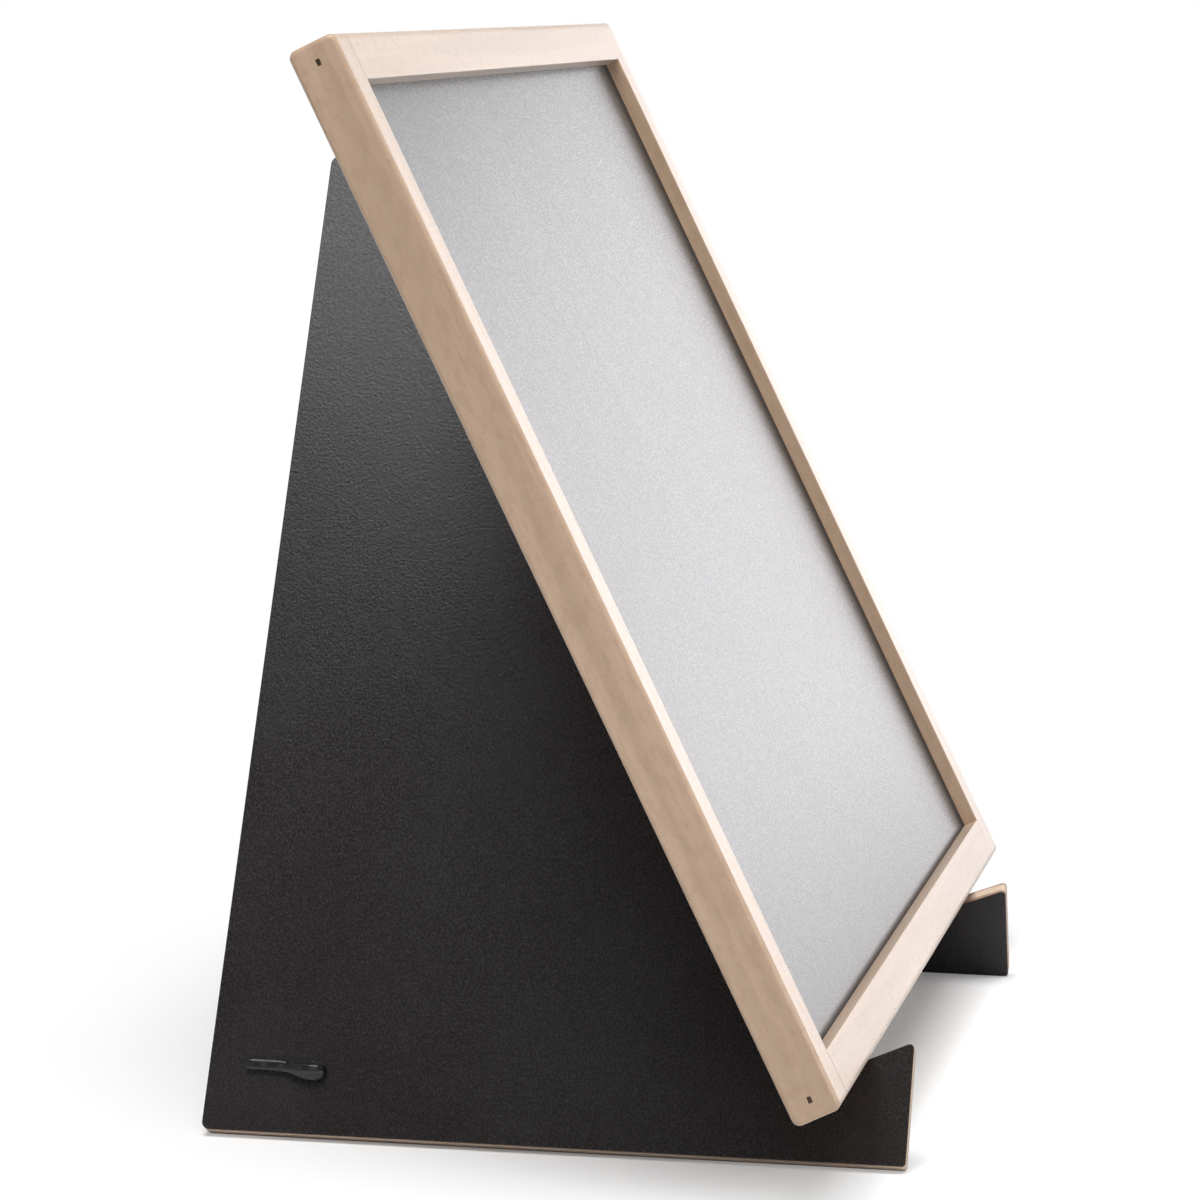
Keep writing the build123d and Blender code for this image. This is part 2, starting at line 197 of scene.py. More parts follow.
@dataclass(frozen=True)
class Stance:
    """How the board and the wings stand.

    Attributes:
        board_tilt: Board's angle from the table.
        wing_lean: Wings' angle from upright.
        foot_half_spread: Middle to a wing's outer foot.
        seat_y: Where the board's lower back edge sits.
        notch_height: Height of that seat up a wing's face.
        seat_play: Room under the board.
        wing_thickness: Thickness of a wing.
    """

    board_tilt: float = math.radians(63.5)
    wing_lean: float = math.radians(27.1)
    foot_half_spread: float = 155 * MM
    seat_y: float = -82.6 * MM
    notch_height: float = 27 * MM
    seat_play: float = 0.2 * MM
    wing_thickness: float = 5.3 * MM

    def foot_rise(self) -> float:
        """Height of a leaning wing's outer foot, whose inner edge is on the table."""
        return self.wing_thickness * math.sin(self.wing_lean)

    def board(self) -> LeaningPlane:
        """Board's back plane: x across, y up the slope, z to the reader."""
        rise = self.notch_height * math.cos(self.wing_lean) + self.foot_rise() + self.seat_play
        return LeaningPlane(Vector((0, self.seat_y, rise)), (self.board_tilt, 0, 0))

    def wing(self, side: Side) -> LeaningPlane:
        """Finds a wing's outer face.

        Args:
            side: Which wing it is.

        Returns:
            The face: x to the front on the left wing and to the back on the
            right one, y up the face, z outward.
        """
        sign = side.value
        origin = Vector((sign * self.foot_half_spread, self.seat_y, self.foot_rise()))
        return LeaningPlane(origin, (math.pi / 2 - self.wing_lean, 0, sign * math.pi / 2))


STANCE = Stance()


class Wiring:
    """Lays the nodes of one node tree."""

    def __init__(self, tree: bpy.types.NodeTree) -> None:
        """Empties a tree.

        Args:
            tree: Tree of a material or a world.
        """
        self.tree = tree
        self.tree.nodes.clear()

    def add(self, kind: str, **settings: object) -> bpy.types.Node:
        """Adds a node.

        Args:
            kind: Node type.
            **settings: Properties of the node.

        Returns:
            The node.
        """
        node = self.tree.nodes.new(kind)
        for key, value in settings.items():
            setattr(node, key, value)
        return node

    def feed(self, node: bpy.types.Node, **inputs: object) -> bpy.types.Node:
        """Sets a node's inputs to values or to other nodes' sockets.

        Args:
            node: Node to feed.
            **inputs: Values or sockets by input name, with _ for a space, or
                by _ and the input's number.

        Returns:
            The node.
        """
        for key, value in inputs.items():
            number = key[1:]
            socket = node.inputs[int(number) if number.isdigit() else key.replace("_", " ")]
            if isinstance(value, Socket):
                self.tree.links.new(value, socket)
            else:
                socket.default_value = value
        return node

    def math(self, operation: str, first: Socket, second: Socket | float = 0.0) -> Socket:
        """Result of an operation on one or two values."""
        node = self.add("ShaderNodeMath", operation=operation)
        return self.feed(node, _0=first, _1=second).outputs["Value"]

    def weighed(self, first: Socket, second: Socket, weights: tuple[float, float]) -> Socket:
        """Sum of two values, each times its weight."""
        pairs = zip((first, second), weights)
        return self.math("ADD", *[self.math("MULTIPLY", *pair) for pair in pairs])

    def axes(self, vector: Socket) -> tuple[Socket, Socket, Socket]:
        """The three parts of a vector."""
        node = self.feed(self.add("ShaderNodeSeparateXYZ"), Vector=vector)
        return node.outputs[0], node.outputs[1], node.outputs[2]

    def ramp(self, value: Socket, step: Step) -> Socket:
        """Carries a value through a smooth step.

        Args:
            value: Value to carry.
            step: The step.

        Returns:
            The step's result.
        """
        ends = sorted([(step.low, step.bottom), (step.high, step.top)])
        (low, bottom), (high, top) = ends
        node = self.add("ShaderNodeMapRange", interpolation_type="SMOOTHSTEP", clamp=True)
        self.feed(node, Value=value, From_Min=low, From_Max=high, To_Min=bottom, To_Max=top)
        return node.outputs["Result"]

    def place(self, plane: LeaningPlane | None = None) -> Socket:
        """Finds where the surface is.

        Args:
            plane: Plane whose own axes are wanted.

        Returns:
            Object coordinates, in the plane's axes if one is given.
        """
        coords = self.add("ShaderNodeTexCoord").outputs["Object"]
        if plane is None:
            return coords
        mapping = self.add("ShaderNodeMapping", vector_type="TEXTURE")
        self.feed(mapping, Vector=coords, Location=plane.origin, Rotation=plane.turn)
        return mapping.outputs["Vector"]

    def scaled(self, vector: Socket, scale: tuple[float, ...]) -> Socket:
        """Vector stretched along its axes."""
        mapping = self.add("ShaderNodeMapping", vector_type="POINT")
        return self.feed(mapping, Vector=vector, Scale=scale).outputs["Vector"]

    def noise(self, vector: Socket, texture: Texture) -> Socket:
        """Looks up a noise pattern.

        Args:
            vector: Where to look.
            texture: The pattern.

        Returns:
            Its value, around a half.
        """
        scale = texture.scale
        if isinstance(scale, tuple):
            vector, scale = self.scaled(vector, scale), 1.0
        node = self.add("ShaderNodeTexNoise")
        self.feed(node, Vector=vector, Scale=scale, Detail=texture.detail)
        self.feed(node, Roughness=texture.rough, Distortion=texture.distortion)
        return node.outputs["Fac"]

    def specks(self, vector: Socket, specks: Specks) -> Socket:
        """Looks up sparse specks.

        Args:
            vector: Where to look.
            specks: The specks.

        Returns:
            1 on a speck and 0 off it.
        """
        cells = self.add("ShaderNodeTexVoronoi", feature="F1")
        self.feed(cells, Vector=vector, Scale=specks.scale)
        parts = self.feed(self.add("ShaderNodeSeparateColor"), Color=cells.outputs["Color"])
        radius = Step(specks.size, specks.size * specks.solid)
        choice = Step(1 - specks.share, 1 - specks.share * specks.full)
        near = self.ramp(cells.outputs["Distance"], radius)
        return self.math("MULTIPLY", near, self.ramp(parts.outputs["Red"], choice))

    def mix(self, share: Socket, first: Colour | Socket, second: Colour | Socket) -> Socket:
        """Mixes two colours.

        Args:
            share: Share of the second colour.
            first: Colour at none.
            second: Colour at one.

        Returns:
            The mixed colour.
        """
        node = self.add("ShaderNodeMix", data_type="RGBA")
        ends = [(*end, 1.0) if isinstance(end, tuple) else end for end in (first, second)]
        # Inputs 6 and 7 and output 2 are the node's colours.
        self.feed(node, _0=share, _6=ends[0], _7=ends[1])
        return node.outputs[2]

    def bump(self, height: Socket, relief: Relief) -> Socket:
        """Normal from a height."""
        node = self.add("ShaderNodeBump")
        self.feed(node, Height=height, Distance=relief.depth, Strength=relief.strength)
        return node.outputs["Normal"]


class Bench(Wiring):
    """Lays the nodes of one procedural material."""

    def __init__(self, name: str) -> None:
        """Starts an empty material with its shader.

        Args:
            name: Material's name.
        """
        self.material = bpy.data.materials.new(name)
        self.material.use_nodes = True
        super().__init__(self.material.node_tree)
        self.shader = self.add("ShaderNodeBsdfPrincipled")
        self.output = self.add("ShaderNodeOutputMaterial")
        self.feed(self.output, Surface=self.shader.outputs["BSDF"])

    def surface(self, **inputs: object) -> Material:
        """Feeds the shader, with constants straight on its sockets, and gives the material."""
        self.feed(self.shader, **inputs)
        return self.material


@dataclass(frozen=True)
class PaleWood:
    """Sanded pale hardwood of the frame, with scales across and along the grain.

    Attributes:
        name: Material's name.
        grain: Way the grain runs.
        pale: Colour of the early wood.
        tan: Colour of the late wood.
        fleck: Colour of the short pores.
        glue: Colour of the line where two members butt.
        bands: Broad bands of late wood.
        rings: Narrow rings of late wood.
        fibre: Darker fibres.
        pores: Short pores.
        blotches: Darker patches.
        fuzz: Fuzz that sanding leaves, and its roughness.
        arcs: Rings in the end grain, in the board's axes.
        weights: Weights of the fibres and the fuzz in the height.
        relief: How far they stand up.
        gloss: Specular level.
        sheen: Weight of the sheen.
        sheen_rough: Roughness of the sheen.
        end_fade: Start of the end grain, from a stile's end.
        glue_fade: Strength of the glue line, from the joint.
        rail_fade: Start of a rail, from its inner edge.
        half_width: Half the width of the panel opening, where the joints are.
        height: Frame's height up the slope.
        rail: Width of a rail.
    """

    name: str
    grain: Grain
    pale: Colour = (0.465, 0.328, 0.232)
    tan: Colour = (0.390, 0.270, 0.184)
    fleck: Colour = (0.27, 0.17, 0.105)
    glue: Colour = (0.24, 0.15, 0.09)
    bands: Layer = Layer(Texture((120, 5), distortion=0.4), Step(0.35, 0.68))
    rings: Layer = Layer(Texture((420, 9), 5, 0.6, 0.8), Step(0.5, 0.74, 0, 0.5))
    fibre: Layer = Layer(Texture((2600, 60), 4, 0.7), Step(0.5, 0.72, 0, 0.2))
    pores: Layer = Layer(Texture((2400, 90), 2), Step(0.66, 0.76, 0, 0.2))
    blotches: Layer = Layer(Texture((330, 130), 4, 0.65), Step(0.48, 0.6, 0, 0.2))
    fuzz: Layer = Layer(Texture((1400, 420)), Step(0.3, 0.7, 0.27, 0.37))
    arcs: Layer = Layer(Texture((900, 1, 240), 4, distortion=0.6), Step(0.3, 0.7, 0.12, 0.5))
    weights: tuple[float, float] = (0.7, 0.5)
    relief: Relief = Relief(0.1 * MM, 0.45)
    gloss: float = 0.5
    sheen: float = 0.3
    sheen_rough: float = 0.35
    end_fade: Step = Step(-1.2 * MM, -0.3 * MM)
    glue_fade: Step = Step(0.2 * MM, 0.05 * MM, 0, 0.3)
    rail_fade: Step = Step(-0.2 * MM, 0)
    half_width: float = 203 * MM
    height: float = 335 * MM
    rail: float = 15 * MM

    def build(self) -> Material:
        """Makes the material.

        Returns:
            The material.
        """
        bench = Bench(self.name)
        local = bench.place(STANCE.board())
        tints = {
            self.bands: self.tan, self.rings: self.tan, self.fibre: self.fleck,
            self.pores: self.fleck, self.blotches: self.fleck,
        }
        layers = (*tints, self.fuzz)
        noise = {layer: bench.noise(local, self.grain.laid(layer.texture)) for layer in layers}
        colour = self.pale
        for layer, tint in tints.items():
            colour = bench.mix(bench.ramp(noise[layer], layer.step), colour, tint)
        if self.grain is Grain.UPRIGHT:
            colour = bench.mix(self.end_grain(bench, local), colour, self.fleck)
        colour = bench.mix(self.joint_line(bench, local), colour, self.glue)
        height = bench.weighed(noise[self.fibre], noise[self.fuzz], self.weights)
        return bench.surface(
            Base_Color=colour,
            Roughness=bench.ramp(noise[self.fuzz], self.fuzz.step),
            Normal=bench.bump(height, self.relief),
            Specular_IOR_Level=self.gloss,
            Sheen_Weight=self.sheen,
            Sheen_Roughness=self.sheen_rough,
        )

    def from_middle(self, bench: Bench, local: Socket) -> Socket:
        """Distance from the frame's mid height, along the slope."""
        offset = bench.math("SUBTRACT", bench.axes(local)[1], self.height / 2)
        return bench.math("ABSOLUTE", offset)

    def end_grain(self, bench: Bench, local: Socket) -> Socket:
        """Finds the stiles' ends.

        Args:
            bench: Material in the making.
            local: Board's own coordinates.

        Returns:
            Share of the darker end grain.
        """
        fade = self.end_fade.moved(self.height / 2)
        ends = bench.ramp(self.from_middle(bench, local), fade)
        arcs = bench.ramp(bench.noise(local, self.arcs.texture), self.arcs.step)
        return bench.math("MULTIPLY", ends, arcs)

    def joint_line(self, bench: Bench, local: Socket) -> Socket:
        """Finds where a rail butts on a stile.

        Args:
            bench: Material in the making.
            local: Board's own coordinates.

        Returns:
            Share of the thin glue line.
        """
        across = bench.math("ABSOLUTE", bench.axes(local)[0])
        off = bench.math("ABSOLUTE", bench.math("SUBTRACT", across, self.half_width))
        fade = self.rail_fade.moved(self.height / 2 - self.rail)
        rails = bench.ramp(self.from_middle(bench, local), fade)
        return bench.math("MULTIPLY", bench.ramp(off, self.glue_fade), rails)


@dataclass(frozen=True)
class BlackFace:
    """Black coating on a wing's two faces.

    Attributes:
        name: Material's name.
        black: Colour of the coating.
        haze: Colour of its faint bloom.
        cloud: Pattern of the bloom.
        grit: Paler grit in the coating.
        dust: The odd speck of dust.
        tooth: Fine pattern of its surface.
        coarse: Coarser pattern of its surface.
        weights: Weights of the two in the height.
        relief: How far they stand up.
        rough: Roughness by the fine pattern.
        gloss: Specular level.
    """

    name: str = "wing_black"
    black: Colour = (0.0130, 0.0106, 0.0104)
    haze: Colour = (0.0190, 0.0168, 0.0172)
    cloud: Layer = Layer(Texture(18, 4), Step(0.35, 0.7, 0, 0.8))
    grit: Specks = Specks(1100, 0.34, 0.3, (0.042, 0.038, 0.038))
    dust: Specks = Specks(60, 0.018, 0.12, (0.12, 0.115, 0.11))
    tooth: Texture = Texture(1500, 2, 0.5)
    coarse: Texture = Texture(1000, 2, 0.5)
    weights: tuple[float, float] = (0.4, 0.6)
    relief: Relief = Relief(0.15 * MM, 0.6)
    rough: Step = Step(0.38, 0.62, 0.20, 0.33)
    gloss: float = 0.36

    def build(self) -> Material:
        """Makes the material.

        Returns:
            The material.
        """
        bench = Bench(self.name)
        spot = bench.place()
        cloud = bench.noise(spot, self.cloud.texture)
        tooth = bench.noise(spot, self.tooth)
        coarse = bench.noise(spot, self.coarse)
        colour = bench.mix(bench.ramp(cloud, self.cloud.step), self.black, self.haze)
        for specks in (self.grit, self.dust):
            colour = bench.mix(bench.specks(spot, specks), colour, specks.colour)
        return bench.surface(
            Base_Color=colour,
            Roughness=bench.ramp(tooth, self.rough),
            Normal=bench.bump(bench.weighed(tooth, coarse, self.weights), self.relief),
            Specular_IOR_Level=self.gloss,
        )


@dataclass(frozen=True)
class CutEdge:
    """Raw sawn edge of a wing, in pressed layers of fibre.

    Attributes:
        name: Material's name.
        face: Wing's outer face, to whose depth the layers keep.
        tan: Colour of the pale layer.
        brown: Colour of the dark layers.
        wander: Pattern in which the layers wander.
        sway: How far they wander.
        inner: Inner limit of the pale layer, as a depth.
        outer: Its outer limit.
        fibre: Darker fibres.
        relief: How far they stand up.
        rough: Roughness by the fibres.
        gloss: Specular level.
    """

    name: str
    face: LeaningPlane
    tan: Colour = (0.57, 0.45, 0.355)
    brown: Colour = (0.28, 0.19, 0.14)
    wander: Texture = Texture(90)
    sway: float = 1.1 * MM
    inner: Step = Step(-4.3 * MM, -3.6 * MM)
    outer: Step = Step(-0.5 * MM, -1.1 * MM)
    fibre: Layer = Layer(Texture((700, 700, 2600), 4, 0.65), Step(0.48, 0.7, 0, 0.55))
    relief: Relief = Relief(0.15 * MM, 0.6)
    rough: Step = Step(0.3, 0.7, 0.7, 0.85)
    gloss: float = 0.3

    def build(self) -> Material:
        """Makes the material.

        Returns:
            The material.
        """
        bench = Bench(self.name)
        local = bench.place(self.face)
        wander = bench.math("SUBTRACT", bench.noise(bench.place(), self.wander), 0.5)
        sway = bench.math("MULTIPLY", wander, self.sway)
        depth = bench.math("ADD", bench.axes(local)[2], sway)
        limits = [bench.ramp(depth, limit) for limit in (self.inner, self.outer)]
        fibre = bench.noise(local, self.fibre.texture)
        colour = bench.mix(bench.math("MULTIPLY", *limits), self.brown, self.tan)
        colour = bench.mix(bench.ramp(fibre, self.fibre.step), colour, self.brown)
        return bench.surface(
            Base_Color=colour,
            Roughness=bench.ramp(fibre, self.rough),
            Normal=bench.bump(fibre, self.relief),
            Specular_IOR_Level=self.gloss,
        )


@dataclass(frozen=True)
class ChalkCoat:
    """Matt black writing coat, which goes pale at a low angle.

    Attributes:
        name: Material's name.
        black: Colour of the coat.
        dust: Colour of wiped chalk.
        pale_grit: Colour of the grit where chalk clings to it.
        painted_wall_shade: Colour of the painted brown shade and painted reflection of the frame's
            wall, on the margin against the frame.
        wiped: Clouds of wiped chalk.
        grit: Grit of the coat.
        tooth: Fine pattern of its surface.
        relief: How far that stands up.
        rough: Roughness by the grit.
        margin_rough: Roughness that the margin adds.
        gloss: Specular level.
        side_fade: Start of the margin, from a side edge.
        foot_fade: Start of the margin, from the bottom edge.
        half_width: Half the width of the coat that shows.
        half_height: Half its height.
        middle: Height of its middle up the slope.
    """

    name: str = "chalk_coat"
    black: Colour = (0.019, 0.019, 0.020)
    dust: Colour = (0.036, 0.036, 0.037)
    pale_grit: Colour = (0.10, 0.096, 0.10)
    # Painted shade and painted reflection of the frame's brown wall, laid on the margin beside and
    # below.
    painted_wall_shade: Colour = (0.026, 0.017, 0.013)
    wiped: Layer = Layer(Texture((14, 9, 14), 4, distortion=0.8), Step(0.35, 0.72))
    grit: Layer = Layer(Texture((540, 1950, 1950), 2, 0.5), Step(0.5, 0.66, 0, 0.2))
    tooth: Texture = Texture(3000, 2, 0.6)
    relief: Relief = Relief(0.03 * MM, 0.3)
    rough: Step = Step(0.36, 0.64, 0.265, 0.31)
    margin_rough: float = 0.48
    gloss: float = 0.55
    side_fade: Step = Step(-13 * MM, -1 * MM)
    foot_fade: Step = Step(-2.6 * MM, -0.2 * MM, 0, 0.8)
    half_width: float = 203 * MM
    half_height: float = 152.5 * MM
    middle: float = 167.5 * MM

    def build(self) -> Material:
        """Makes the material.

        Returns:
            The material.
        """
        bench = Bench(self.name)
        local = bench.place(STANCE.board())
        wiped = bench.noise(local, self.wiped.texture)
        grit = bench.noise(local, self.grit.texture)
        margin = self.margin(bench, local)
        colour = bench.mix(bench.ramp(wiped, self.wiped.step), self.black, self.dust)
        colour = bench.mix(bench.ramp(grit, self.grit.step), colour, self.pale_grit)
        added = bench.math("MULTIPLY", margin, self.margin_rough)
        return bench.surface(
            # The margin gets a painted brown shade and painted reflection of the frame's wall.
            Base_Color=bench.mix(margin, colour, self.painted_wall_shade),
            Roughness=bench.math("ADD", bench.ramp(grit, self.rough), added),
            Normal=bench.bump(bench.noise(local, self.tooth), self.relief),
            Specular_IOR_Level=self.gloss,
        )

    def margin(self, bench: Bench, local: Socket) -> Socket:
        """Finds the unwiped margin beside and below, where the coat stays rough.

        Args:
            bench: Material in the making.
            local: Board's own coordinates.

        Returns:
            Share of the margin, which sets the added roughness and where the painted brown shade
            and reflection of the frame's wall go.
        """
        x, y, _ = bench.axes(local)
        across = bench.math("ABSOLUTE", x)
        down = bench.math("SUBTRACT", self.middle, y)
        beside = bench.ramp(across, self.side_fade.moved(self.half_width))
        along = bench.ramp(down, self.foot_fade.moved(self.half_height))
        return bench.math("MAXIMUM", beside, along)


@dataclass(frozen=True)
class PressedBack:
    """Brown back of the writing panel, with the print of its wire screen.

    Attributes:
        name: Material's name.
        brown: Colour of the board.
        dark: Colour of its darker fibres.
        light: Colour of its lighter patches.
        fibre: Darker fibres.
        cloud: Lighter patches.
        pitch: Repeat of the screen.
        screen: Height of the screen's print.
        weights: Weights of the print and the fibres in the height.
        relief: How far they stand up.
        rough: Roughness by the fibres.
        gloss: Specular level.
    """

    name: str = "panel_back"
    brown: Colour = (0.235, 0.135, 0.075)
    dark: Colour = (0.12, 0.066, 0.036)
    light: Colour = (0.29, 0.18, 0.10)
    fibre: Layer = Layer(Texture(900, 4, 0.7, 0.6), Step(0.35, 0.7))
    cloud: Layer = Layer(Texture(30), Step(0.4, 0.7, 0, 0.4))
    pitch: float = 1.5 * MM
    screen: Step = Step(-0.9, 0.9)
    weights: tuple[float, float] = (0.7, 0.4)
    relief: Relief = Relief(0.2 * MM, 0.6)
    rough: Step = Step(0.3, 0.7, 0.66, 0.78)
    gloss: float = 0.35

    def build(self) -> Material:
        """Makes the material.

        Returns:
            The material.
        """
        bench = Bench(self.name)
        local = bench.place(STANCE.board())
        fibre = bench.noise(local, self.fibre.texture)
        cloud = bench.noise(local, self.cloud.texture)
        turns = 2 * math.pi / self.pitch
        phases = [bench.math("MULTIPLY", part, turns) for part in bench.axes(local)[:2]]
        ridges = [bench.math("SINE", phase) for phase in phases]
        screen = bench.ramp(bench.math("MULTIPLY", *ridges), self.screen)
        colour = bench.mix(bench.ramp(fibre, self.fibre.step), self.brown, self.dark)
        return bench.surface(
            Base_Color=bench.mix(bench.ramp(cloud, self.cloud.step), colour, self.light),
            Roughness=bench.ramp(fibre, self.rough),
            Normal=bench.bump(bench.weighed(screen, fibre, self.weights), self.relief),
            Specular_IOR_Level=self.gloss,
        )


@dataclass(frozen=True)
class PlatedSteel:
    """Plated sheet or wire.

    Attributes:
        name: Material's name.
        plate: Colour of the plating.
        dull: Colour of its duller patches.
        brushed: Brushing, and the roughness that it adds.
        patches: Duller patches.
        rough: Roughness by the patches.
        relief: How far the brushing stands up.
    """

    name: str = "zinc_steel"
    plate: Colour = (0.60, 0.60, 0.59)
    dull: Colour = (0.40, 0.40, 0.41)
    brushed: Layer = Layer(Texture((2400, 90, 2400)), Step(0.3, 0.7, 0, 0.14))
    patches: Layer = Layer(Texture(210, 4, distortion=0.5), Step(0.35, 0.7))
    rough: Step = Step(0.3, 0.7, 0.26, 0.4)
    relief: Relief = Relief(0.02 * MM, 0.5)

    def build(self) -> Material:
        """Makes the material.

        Returns:
            The material.
        """
        bench = Bench(self.name)
        spot = bench.place()
        brushed = bench.noise(spot, self.brushed.texture)
        patches = bench.noise(spot, self.patches.texture)
        added = bench.ramp(brushed, self.brushed.step)
        return bench.surface(
            Base_Color=bench.mix(bench.ramp(patches, self.patches.step), self.plate, self.dull),
            Roughness=bench.math("ADD", added, bench.ramp(patches, self.rough)),
            Metallic=1.0,
            Normal=bench.bump(brushed, self.relief),
        )


@dataclass(frozen=True)
class WornSkin:
    """Plain skin that is worn in patches, on moulded nylon or drawn wire.

    Attributes:
        name: Material's name.
        ground: Colour of the skin.
        worn: Colour where it is worn.
        patches: Worn patches.
        rough: Roughness by the patches.
        skin: Fine pattern of its surface.
        relief: How far that stands up.
        gloss: Specular level.
        metal: Share of bare metal.
    """

    name: str
    ground: Colour
    worn: Colour
    patches: Layer
    rough: Step
    skin: Texture
    relief: Relief = Relief(0.05 * MM, 0.5)
    gloss: float = 0.5
    metal: float = 0.0

    def build(self) -> Material:
        """Makes the material.

        Returns:
            The material.
        """
        bench = Bench(self.name)
        spot = bench.place()
        patches = bench.noise(spot, self.patches.texture)
        return bench.surface(
            Base_Color=bench.mix(bench.ramp(patches, self.patches.step), self.ground, self.worn),
            Roughness=bench.ramp(patches, self.rough),
            Normal=bench.bump(bench.noise(spot, self.skin), self.relief),
            Specular_IOR_Level=self.gloss,
            Metallic=self.metal,
        )


NYLON = WornSkin(
    "black_nylon", (0.010, 0.010, 0.012), (0.022, 0.022, 0.024),
    Layer(Texture(320, 4), Step(0.5, 0.75)), Step(0.3, 0.75, 0.20, 0.36),
    Texture(2200, 2), gloss=0.55,
)
BRAD_WIRE = WornSkin(
    "brad_wire", (0.10, 0.075, 0.055), (0.05, 0.026, 0.015),
    Layer(Texture(1800, 4), Step(0.35, 0.65)), Step(0.3, 0.7, 0.45, 0.7),
    Texture(1800, 4), metal=0.6,
)


def dress(node: str, material: Material) -> None:
    """Gives a CAD node its material.

    Args:
        node: Node's name.
        material: Its finish.
    """
    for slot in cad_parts[node].material_slots:
        slot.material = material
    log.info("dressed %s with %s", node, material.name)


def piece_from(mesh: bmesh.types.BMesh, name: str, materials: list[Material]) -> bpy.types.Object:
    """Turns a finished bmesh into an object at the origin.

    Args:
        mesh: Shape, already in place. It is freed.
        name: Piece's name.
        materials: Materials for its faces' indices.

    Returns:
        The object.
    """
    data = bpy.data.meshes.new(name)
    mesh.to_mesh(data)
    mesh.free()
    for material in materials:
        data.materials.append(material)
    piece = bpy.data.objects.new(name, data)
    bpy.context.scene.collection.objects.link(piece)
    log.info("made %s with %d faces", name, len(data.polygons))
    return piece


def cut_plate(
    outline: list[tuple[float, float]],
    radii: tuple[float, ...],
    thickness: float,
    arris: float,
) -> bmesh.types.BMesh:
    """Saws a board to an outline, below the XY plane, and eases its arrises.

    Args:
        outline: Corners in order.
        radii: Radius at each corner, 0 for a sharp one.
        thickness: Thickness of the board.
        arris: Width of the eased arris.

    Returns:
        The board, with face index 0 for its top, 1 for its bottom and 2 for its rim.
    """
    board = bmesh.new()
    corners = [board.verts.new((x, y, 0)) for x, y in outline]
    board.faces.new(corners)
    count = len(outline)
    for index, (corner, radius) in enumerate(zip(corners, radii)):
        if radius <= 0:
            continue
        before = Vector(outline[index - 1]) - Vector(outline[index])
        after = Vector(outline[(index + 1) % count]) - Vector(outline[index])
        reach = radius / math.tan(before.angle(after) / 2)
        bmesh.ops.bevel(
            board, geom=[corner], offset=reach, offset_type="OFFSET", affect="VERTICES",
            segments=CORNER_FACETS, profile=ROUND, material=-1,
        )
    grown = bmesh.ops.extrude_face_region(board, geom=board.faces[:])
    lower = [part for part in grown["geom"] if isinstance(part, bmesh.types.BMVert)]
    bmesh.ops.translate(board, verts=lower, vec=(0, 0, -thickness))
    bmesh.ops.recalc_face_normals(board, faces=board.faces[:])
    rims = [
        edge for edge in board.edges
        if sum(abs(face.normal.z) > LEVEL for face in edge.link_faces) == 1
    ]
    bmesh.ops.bevel(
        board, geom=rims, offset=arris, offset_type="OFFSET", affect="EDGES",
        segments=ARRIS_FACETS, profile=ROUND, clamp_overlap=True, material=-1,
    )
    for face in board.faces:
        up = face.normal.z
        face.material_index = (0 if up > 0 else 1) if abs(up) > FACING else 2
        face.smooth = abs(up) <= LEVEL
    return board


def set_on_wing(mesh: bmesh.types.BMesh, side: Side) -> None:
    """Sets a shape on a wing's outer face.

    Args:
        mesh: Shape drawn for the left wing, with z out of its face.
        side: Wing that it goes on. The right wing gets its mirror image.
    """
    bmesh.ops.transform(mesh, matrix=STANCE.wing(Side.LEFT).matrix(), verts=mesh.verts[:])
    if side is Side.RIGHT:
        bmesh.ops.scale(mesh, vec=(-1, 1, 1), verts=mesh.verts[:])
    bmesh.ops.recalc_face_normals(mesh, faces=mesh.faces[:])


@dataclass
class BoardFrame:
    """Four wooden members and the brads that hold their corners.

    Attributes:
        upright: Wood of the stiles.
        crosswise: Wood of the rails.
        wire: Finish of the brads.
    """

    upright: PaleWood = PaleWood("stile_wood", Grain.UPRIGHT)
    crosswise: PaleWood = PaleWood("rail_wood", Grain.CROSSWISE)
    wire: WornSkin = BRAD_WIRE

    def build(self) -> None:
        """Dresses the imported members."""
        stile_wood = self.upright.build()
        rail_wood = self.crosswise.build()
        for node in ("left_stile", "right_stile"):
            dress(node, stile_wood)
        for node in ("top_rail", "bottom_rail"):
            dress(node, rail_wood)
        dress("corner_brads", self.wire.build())


@dataclass
class WritingPanel:
    """Grooved-in panel, black in front and brown behind.

    Attributes:
        front: Finish of its front.
        back: Finish of its back and rim.
        view_width: Width of its visible front.
        view_height: Height of its visible front.
        rail: Width of the frame round it.
        frame_depth: Depth of the frame.
        recess: Depth of its front behind the frame's.
        thickness: Its thickness.
        hidden: Part of each edge inside the grooves.
        arris: Width of its eased arris.
    """

    front: ChalkCoat = ChalkCoat()
    back: PressedBack = PressedBack()
    view_width: float = 406 * MM
    view_height: float = 305 * MM
    rail: float = 15 * MM
    frame_depth: float = 15 * MM
    recess: float = 5 * MM
    thickness: float = 3 * MM
    hidden: float = 4.7 * MM
    arris: float = 0.2 * MM

    def build(self) -> bpy.types.Object:
        """Makes the panel.

        Returns:
            The piece.
        """
        half = self.view_width / 2 + self.hidden
        low = self.rail - self.hidden
        high = self.rail + self.view_height + self.hidden
        outline = [(-half, low), (half, low), (half, high), (-half, high)]
        board = cut_plate(outline, (0, 0, 0, 0), self.thickness, self.arris)
        lift = Matrix.Translation((0, 0, self.frame_depth - self.recess))
        bmesh.ops.transform(board, matrix=STANCE.board().matrix() @ lift, verts=board.verts[:])
        back = self.back.build()
        panel = piece_from(board, "writing_panel", [self.front.build(), back, back])
        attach(panel, "board")
        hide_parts("chalk_panel")
        return panel


